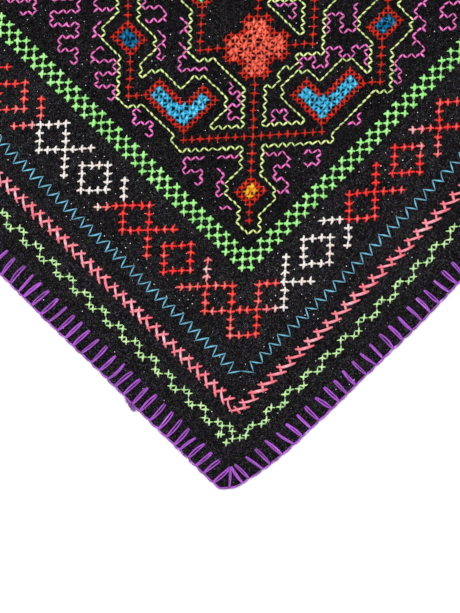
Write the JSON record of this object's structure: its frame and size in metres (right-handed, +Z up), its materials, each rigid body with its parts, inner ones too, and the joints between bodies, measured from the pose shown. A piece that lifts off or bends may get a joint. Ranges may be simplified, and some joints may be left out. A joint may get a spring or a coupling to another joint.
{
  "type": "shipibo embroidered cloth",
  "caption": "Nearly square black cotton cloth laid flat, embroidered with counted-thread borders and a geometric field, with a blanket-stitched edge.",
  "frame": {"origin": "on the surface the cloth lies on, under the middle of its outline's box", "axes": "+Z up out of the embroidered face; X runs along one pair of sides and Y along the other"},
  "size_m": [0.4118, 0.4204, 0.0012],
  "materials": {
    "black_cotton": "matte woven cotton with coloured thread embroidery"
  },
  "bodies": {
    "root": {"cloth": "black_cotton"}
  },
  "joints": []
}
